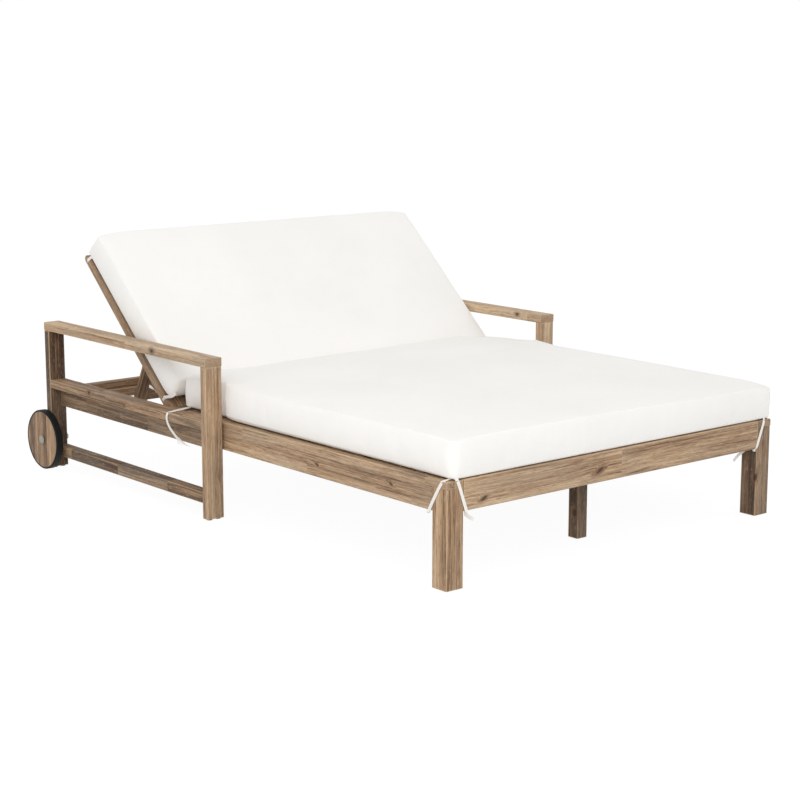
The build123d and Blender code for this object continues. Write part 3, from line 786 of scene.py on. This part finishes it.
def cover_box(outline, height, corner):
    """A box on an outline, lying on the XY plane, with rounded corners and crisp seams."""
    shape = bmesh.new()
    base = shape.faces.new([shape.verts.new((x, y, 0)) for x, y in outline])
    lifted = bmesh.ops.extrude_face_region(shape, geom=[base])["geom"]
    top = [item for item in lifted if isinstance(item, bmesh.types.BMVert)]
    bmesh.ops.translate(shape, verts=top, vec=(0, 0, height))
    bmesh.ops.recalc_face_normals(shape, faces=shape.faces[:])
    upright = [edge for edge in shape.edges
               if abs(edge.verts[0].co.z - edge.verts[1].co.z) > height / 2]
    beside_steps = [edge for edge in upright
                    if min(face.calc_area() for face in edge.link_faces) < narrow_side * height]
    round_off(shape, beside_steps, step_round)
    round_off(shape, [edge for edge in upright if edge not in beside_steps], corner)
    rims = [edge for edge in shape.edges
            if len(edge.link_faces) == 2 and edge.calc_face_angle() > sharp_angle]
    seam = shape.verts.layers.float.new("seam")
    rounded = round_off(shape, rims, seam_round, 4)["verts"]
    shape.normal_update()
    for vertex in rounded:
        vertex[seam] = float(0.6 < abs(vertex.normal.z) < 0.8)
    return shape


def cut_evenly(shape):
    """Cut a shape into cells of about one size."""
    for axis in range(3):
        reach = [vertex.co[axis] for vertex in shape.verts]
        length = max(reach) - min(reach)
        count = round(length / cell)
        normal = Vector([float(axis == other) for other in range(3)])
        for number in range(1, count):
            level = min(reach) + length * number / count
            everything = shape.verts[:] + shape.edges[:] + shape.faces[:]
            bmesh.ops.bisect_plane(shape, geom=everything, dist=cut_snap,
                                   plane_co=normal * level, plane_no=normal)


print("cells of", cell, "m")

# %% [markdown]
# The cover is blown up a little as cloth, with the rings of seams pinned. Moving vertices
# by hand could fake that, but the cloth finds the long soft curve from seam to seam by
# itself. The swelling is capped afterwards, because foam isn't a balloon.

# %% Blow the cover up
stuffing_pressure = 4.0
frames_of_cloth = 20
cloth_growth = -0.004
seam_band = 0.007
seam_reach = 0.014
swelling = 0.010


def settle(piece):
    """Apply what the modifiers make of a piece to its mesh."""
    solved = piece.evaluated_get(bpy.context.evaluated_depsgraph_get())
    ready = bpy.data.meshes.new_from_object(solved)
    piece.modifiers.clear()
    piece.data = ready
    return ready


def gaps_to_sides(point, outline):
    """For each side of an outline, how far off it is and the share along it that is nearest."""
    flat = Vector((point.x, point.y))
    found = []
    for start, end in zip(outline, outline[1:] + outline[:1]):
        start, end = Vector(start), Vector(end)
        share = min(max(intersect_point_line(flat, start, end)[1], 0), 1)
        found.append(((start.lerp(end, share) - flat).length, share))
    return found


def swell(piece, outline, height):
    """Blow the cover up as cloth, with its two rings of seams pinned."""
    mesh = piece.data
    start = [vertex.co.copy() for vertex in mesh.vertices]
    seams = piece.vertex_groups.new(name="seams")
    held = [vertex.index for vertex in mesh.vertices
            if min(vertex.co.z, height - vertex.co.z) < seam_band
            and min(gaps_to_sides(vertex.co, outline))[0] < seam_reach]
    seams.add(held, 1.0, "REPLACE")
    cloth = piece.modifiers.new("stuffing", "CLOTH").settings
    cloth.use_pressure = True
    cloth.uniform_pressure_force = stuffing_pressure
    cloth.effector_weights.gravity = 0
    cloth.vertex_group_mass = "seams"
    cloth.shrink_min = cloth_growth
    for number in range(1, frames_of_cloth + 1):
        scene.frame_set(number)
    mesh = settle(piece)
    scene.frame_set(1)
    for vertex, before in zip(mesh.vertices, start):
        move = vertex.co - before
        if move.length > 0:
            move *= swelling * (1 - 1 / (1 + move.length / swelling)) / move.length
        vertex.co = before + move
    return mesh


print("covers swell by", swelling, "m at most")

# %% [markdown]
# Cloth in a computer comes out too regular, so the cover is then shaped in code, as a
# sculptor would with a soft brush. The side bands bulge, the lower rims stand a little
# clear of the frame, corners of the top are pulled down or up, and a soft ripple goes over
# everything. A squash slants the lower end of the back cushion.

# %% Shape the covers
side_bulge = 0.004
ripple_size = 0.0010


def ripple_at(place):
    """A wide ripple and a narrow one, in metres."""
    return (noise_at(place * 9) + noise_at(place * 23) * 0.7) * ripple_size


def shape_cover(mesh, outline, height, lifts, rim_reach, pulls, squash=0.0):
    """Bulge the side bands, lift the lower rims, pull corners of the top, and ripple it all.

    A side of the outline has a lift at each end. A pull is a spot, a move and its reach.
    """
    normals = [vertex.normal.copy() for vertex in mesh.vertices]
    near_end = min(y for x, y in outline)
    for vertex, normal in zip(mesh.vertices, normals):
        gaps = gaps_to_sides(vertex.co, outline)
        level = min(max(vertex.co.z / height, 0), 1)
        vertex.co.z = max(vertex.co.z, 0)
        ripple = ripple_at(vertex.co) * min(1, 3 * level)
        bulge = side_bulge * 4 * level * (1 - level)
        vertex.co += normal * ripple + Vector((normal.x, normal.y, 0)) * bulge
        lift = max((first + (last - first) * share) * max(0, 1 - gap / rim_reach) ** 2
                   for (first, last), (gap, share) in zip(lifts, gaps))
        vertex.co.z += lift * (1 - level)
        for x, y, move, reach in pulls:
            away = Vector((vertex.co.x - x, vertex.co.y - y)).length
            vertex.co += Vector(move) * level * max(0, 1 - away / reach) ** 2
        slant = max(0, 1 - (vertex.co.y - near_end) / rim_reach)
        vertex.co.y -= squash * (1 - level) * slant


def cushion(name, outline, thickness, corner, shaping, place, body, stands_for, cover):
    """A stuffed cushion on an outline, moved to its place and set on its body."""
    shape = cover_box(outline, thickness, corner)
    cut_evenly(shape)
    piece = as_piece(name, shape)
    mesh = swell(piece, outline, thickness)
    shape_cover(mesh, outline, thickness, **shaping)
    mesh.transform(place)
    for face in mesh.polygons:
        face.use_smooth = True
    soft = piece.modifiers.new("soft cloth", "SUBSURF")
    soft.levels = 1
    soft.render_levels = 1
    mesh.materials.append(cover)
    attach(piece, body)
    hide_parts(stands_for)
    print(name, "has", len(mesh.polygons), "faces")


print("side bands bulge by", side_bulge, "m")

# %% [markdown]
# The seat cushion is narrower where it passes between the arm frames, and it lies a
# little off centre, further over at the foot end. Its top sinks at some corners and rises
# at the steps, where the cover is pulled tight round the inner corners. Each of those dips
# is set one by one from the photograph, because no simulation knows how this one was filled.

# %% Seat cushion
rail_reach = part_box("side_rail_right")[1].x
wide = rail_reach - 0.008
neck = rail_reach - 0.029
foot_drift, head_drift = 0.014, -0.004
seat_front = foot_face + 0.003
seat_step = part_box("front_post_left")[0].y + 0.004
seat_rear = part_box("hinge_rail")[0].y - 0.012
seat_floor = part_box("seat_cushion")[0].z
seat_thickness = 0.112
seat_outline = [
    (foot_drift - wide, seat_front), (foot_drift + wide, seat_front),
    (head_drift + wide, seat_step), (neck, seat_step), (neck, seat_rear),
    (-neck, seat_rear), (-neck, seat_step), (head_drift - wide, seat_step),
]
seat_lifts = [
    (0.003, 0.003), (0.004, 0.018), (0.018, 0.012), (0.012, 0.010), (0.010, 0.010),
    (0.010, 0.012), (0.012, 0.022), (0.022, 0.005),
]
dips = [
    (seat_outline[0], -0.006, 0.13), (seat_outline[1], -0.007, 1.3),
    (seat_outline[1], -0.010, 0.12), ((0.35, seat_front), -0.006, 0.45),
    (seat_outline[2], 0.009, 0.15), (seat_outline[4], -0.015, 0.15),
    (seat_outline[5], -0.015, 0.15), (seat_outline[7], 0.009, 0.15),
    ((-0.35, seat_rear), -0.009, 0.5), ((0.1, seat_rear), -0.005, 0.5),
]
seat_pulls = [(*spot, (0, 0, dip), reach) for spot, dip, reach in dips]
seat_shaping = {"lifts": seat_lifts, "rim_reach": 0.028, "pulls": seat_pulls}
cushion("seat_pad", seat_outline, seat_thickness, corner_round, seat_shaping,
        Matrix.Translation((0, 0, seat_floor)), "frame", "seat_cushion", seat_cloth)

# %% [markdown]
# The back cushion is a plain rectangle. It is simpler to make it lying flat and to raise
# it about the hinge than to model it where it leans. Its lower end slants, because the
# seat cushion presses against it.

# %% Back cushion
hinge_joint = next(joint for joint in frame["joints"] if joint["name"] == "backrest_hinge")
hinge = Vector(hinge_joint["pos_m"])
raised = Matrix.Translation(hinge) @ Matrix.Rotation(radians(lean), 4, "X")
back_turn, back_middle, back_size = board_frame("back_cushion", lean)
flat_hinge = back_turn @ hinge
back_half = rail_reach - 0.005
back_drift = 0.002
back_thickness = 0.106
back_corner = 0.010
back_squash = 0.022
seat_press = 0.0014
back_floor = back_middle.z - back_size.z - flat_hinge.z
back_top = back_floor + back_thickness
past_hinge = seat_rear + seat_press - hinge.y
back_start = (past_hinge + back_top * sin(radians(lean))) / cos(radians(lean))
back_end = back_middle.y + back_size.y - flat_hinge.y - 0.004
back_left, back_right = back_drift - back_half, back_drift + back_half
back_outline = [
    (back_left, back_start), (back_right, back_start),
    (back_right, back_end), (back_left, back_end),
]
back_lifts = [(0.035, 0.035), (0.014, 0.012), (0.008, 0.008), (0.012, 0.014)]
back_pulls = [(x, back_start, (0, -0.011, 0), 0.12) for x in (back_left, back_right)]
back_pulls += [(x, back_end, (0, -0.010, -0.005), 0.12) for x in (back_left, back_right)]
back_shaping = {
    "lifts": back_lifts, "rim_reach": 0.06, "pulls": back_pulls, "squash": back_squash,
}
cushion("back_pad", back_outline, back_thickness, back_corner, back_shaping,
        raised @ Matrix.Translation((0, 0, back_floor)), "backrest", "back_cushion",
        back_cloth)
print("back cushion from", round(back_start, 4), "to", round(back_end, 4), "m up the stile")

# %% [markdown]
# The cushions are tied down with flat tapes, sewn in at the corners. A tape is a strip
# about a finger's width across that bends easily one way only. A curve with a flat profile
# would twist at the folds, so an edge across the tape is pushed along a route instead, and
# Solidify gives it its thickness. At each point the route also says which way the flat
# side faces, so that a tape can fold over an arris and hang down the other face.

# %% Tapes
tape_width = 0.010
tape_thickness = 0.0008


def tape_cloth():
    """A close white weave, a little crisper than the covers."""
    material, tree, shader = finish_of("white tape")
    threads = weave(tree, own_place(tree), thread_pitch)
    colour = ramp(tree, threads, [(0.2, seen(232, 229, 222)), (0.8, seen(248, 246, 241))])
    wire(tree, shader, {"Base Color": colour, "Roughness": 0.85})
    raise_grain(tree, shader, threads, 0.0002)
    return material


def tape_strip(shape, route, width):
    """Push an edge along a route of places and of the ways that the tape faces there."""
    ends = []
    for number, (point, facing) in enumerate(route):
        before = route[max(number - 1, 0)][0]
        after = route[min(number + 1, len(route) - 1)][0]
        across = (after - before).cross(Vector(facing)).normalized() * width / 2
        if not ends:
            ends = [shape.verts.new(point - across), shape.verts.new(point + across)]
            edge = shape.edges.new(ends)
            continue
        pushed = bmesh.ops.extrude_edge_only(shape, edges=[edge])["geom"]
        fresh = [item for item in pushed if isinstance(item, bmesh.types.BMVert)]
        ends = [next(new for new in fresh if shape.edges.get((old, new))) for old in ends]
        ends[0].co, ends[1].co = point - across, point + across
        edge = shape.edges.get(ends)


def tapes(name, routes, body, stands_for=None, width=tape_width):
    """Several tapes of one cushion, as one piece."""
    shape = bmesh.new()
    for route in routes:
        tape_strip(shape, route, width)
    piece = as_piece(name, shape)
    bends = piece.modifiers.new("soft bends", "SUBSURF")
    bends.levels = 2
    bends.render_levels = 2
    bends.boundary_smooth = "PRESERVE_CORNERS"
    web = piece.modifiers.new("thickness", "SOLIDIFY")
    web.thickness = tape_thickness
    web.offset = 0
    piece.data.materials.append(white_tape)
    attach(piece, body)
    if stands_for:
        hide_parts(stands_for)
    print(name, "has", len(routes), "tapes")


white_tape = tape_cloth()
print("tapes are", tape_width, "m wide")

# %% [markdown]
# Where tapes are tied there is a small knot. At this size its loops can't be told apart,
# so a knot is two crossing rings, each one a small circle spun round the knot's middle.

# %% Knots in the tapes
knot_cord = 0.0022
knot_ring = 0.0032
ring_axes = ((1, 0.3, 0), (0.2, 0, 1))


def ring(shape, spot, axis):
    """Spin a small circle round a spot."""
    axis = Vector(axis).normalized()
    out = axis.orthogonal().normalized()
    turn = Matrix((out, axis, out.cross(axis))).transposed().to_4x4()
    made = bmesh.ops.create_circle(shape, cap_ends=False, segments=8, radius=knot_cord)
    circle = made["verts"]
    place = Matrix.Translation(spot + out * knot_ring) @ turn
    bmesh.ops.transform(shape, matrix=place, verts=circle)
    edges = {edge for vertex in circle for edge in vertex.link_edges}
    bmesh.ops.spin(shape, geom=circle + list(edges), cent=spot, axis=axis, angle=2 * pi,
                   steps=12, use_merge=True)


def knots(name, spots, body):
    """A small knot at each spot."""
    shape = bmesh.new()
    for spot in spots:
        for axis in ring_axes:
            ring(shape, spot, axis)
    bmesh.ops.remove_doubles(shape, verts=shape.verts[:], dist=0.00001)
    bmesh.ops.recalc_face_normals(shape, faces=shape.faces[:])
    piece = as_piece(name, shape)
    for face in piece.data.polygons:
        face.use_smooth = True
    piece.data.materials.append(white_tape)
    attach(piece, body)
    print(name, "has", len(spots), "knots")


print("knot rings are", round(2 * (knot_ring + knot_cord), 4), "m across")

# %% [markdown]
# A route lists places in millimetres from the foot end, with the way that the tape faces
# there. At the foot, one tape of each corner hangs down the front of the leg and one goes
# over the leg and down its side. These routes were read from the photograph, one by one,
# and the right one ends behind the foot rail.

# %% Ties at the foot
front, back, up, down, left = (0, -1, 0), (0, 1, 0), (0, 0, 1), (0, 0, -1), (-1, 0, 0)


def mm(facing, *points):
    """Points in millimetres from the foot end, where the tape faces one way."""
    return [(on_foot(*point), facing) for point in points]


def flip(place):
    """The mirror image of a place or direction, across the lounger."""
    return Vector((-place[0], place[1], place[2]))


def both_sides(routes):
    """The routes and their mirror images."""
    mirrored = [[(flip(point), flip(facing)) for point, facing in route] for route in routes]
    return routes + mirrored


foot_left = mm(front, (-622, 6, 303), (-621, -1.5, 299), (-606, -1.5, 257), (-594, -1.5, 223),
               (-589.5, -1.5, 211))
foot_left_tail = mm(front, (-590, 5, 205), (-581, 11, 197), (-568, 13, 188), (-553, 12, 180))
foot_right = mm(front, (630, 6, 303), (629, -1.5, 299), (611, -1.5, 258.7), (597, -1.5, 219))
foot_right += mm((0, -1, -1), (594, 0, 209.8))
foot_right += mm(down, (590, 14, 209.4), (584, 26, 208.8))
foot_right += mm(back, (574, 32, 202), (562, 34, 196), (549, 34, 190), (532, 34, 177))
over_leg = mm(up, (-604, 26, 300), (-633, 23, 298.6), (-655, 18.5, 298.6))
over_leg += mm((-1, 0, 0.3), (-659.3, 19.5, 294))
over_leg += mm(left, (-659.3, 46, 254), (-659.3, 70, 211))
print("ties at the foot drawn")

# %% [markdown]
# Behind the front posts, two tapes go over the rails of the arm frame, and one hangs down
# outside. They show on the near side only, and are mirrored. The end that hangs is frayed
# into strands, which are thin tapes of their own.

# %% Ties at the arms
over_rail = mm(up, (-612, 1276, 300), (-630, 1265, 303), (-686, 1240, 305.4), (-722, 1229, 305.4))
over_rail += mm((-1, 0, 0.3), (-728, 1230, 302))
over_rail += mm(left, (-729, 1235, 283), (-723, 1226, 255), (-708, 1205, 224))
over_rail_too = mm(up, (-612, 1266, 300.6), (-633, 1254, 304), (-688, 1229, 306.2),
                   (-723, 1222, 306.2))
seat_routes = [foot_left, foot_left_tail, foot_right]
seat_routes += both_sides([over_leg, over_rail, over_rail_too])
tapes("seat_tapes", seat_routes, "frame", "seat_ties")

strand_width = 0.0014
frayed = [(-706, 1206, 206), (-704, 1198, 208), (-703, 1187, 205), (-702, 1176, 208),
          (-701, 1163, 207), (-700, 1150, 206)]
strands = [mm(left, (-709, 1205 - 2 * number, 228),
              ((-709 + x) / 2, (1203 + y) / 2, (z + 222) / 2), (x, y, z))
           for number, (x, y, z) in enumerate(frayed)]
tapes("frayed_ends", both_sides(strands), "frame", width=strand_width)
seat_knots = [on_foot(-589, 2, 208), on_foot(-659, 73, 207), on_foot(659, 73, 207),
              on_foot(592, 6, 207)]
knots("seat_knots", seat_knots, "frame")

# %% [markdown]
# The ties of the back cushion turn with the backrest, so their places are given on it:
# across, up the stile and out from its middle line. One tape at each end of the stile goes
# round it and lies against its underside, and a loose tail hangs off the lower one.

# %% Ties of the back cushion
tape_clearance = 0.0012
edge_x = 1000 * (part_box("back_stile_left")[0].x - tape_clearance)


def up_back(facing, *points):
    """Places on the backrest: across, up the stile and out, in millimetres."""
    turned = raised.to_3x3() @ Vector(facing)
    return [(raised @ (Vector(point) / 1000), turned) for point in points]


lower_wrap = up_back(left, (edge_x + 4, 14, 68), (edge_x, 17, 50), (edge_x, 30, 33),
                     (edge_x, 42, 16), (edge_x, 45, -4))
lower_wrap += up_back(down, (edge_x + 5, 47, -13.2), (edge_x + 20, 47, -13.2))
upper_wrap = up_back(left, (edge_x + 3, 626, 40), (edge_x, 631, 26), (edge_x, 637, 10),
                     (edge_x, 641, -3))
upper_wrap += up_back((0, 0.8, -0.6), (edge_x + 5, 642, -7.9), (edge_x + 20, 642, -7.9))
loose_tail = up_back(down, (edge_x + 12, 47, -13.2), (edge_x + 12, 66, -13.4),
                     (edge_x + 7, 84, -13.8))
loose_tail += up_back((-0.7, 0, -0.7), (edge_x, 97, -14.5))
loose_tail += up_back(left, (-655, 108, -16), (-655, 121, -24))
tapes("back_tapes", both_sides([lower_wrap, upper_wrap, loose_tail]), "backrest", "back_ties")
lower_knot = up_back(left, (edge_x, 43, 14))[0][0]
knots("back_knots", [lower_knot, flip(lower_knot)], "backrest")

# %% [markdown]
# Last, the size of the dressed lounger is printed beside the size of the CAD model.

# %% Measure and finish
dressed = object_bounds()
for label, (low, high) in (("CAD", cad_box), ("dressed", dressed)):
    print(label, [round(value, 4) for value in (*low, *high)])
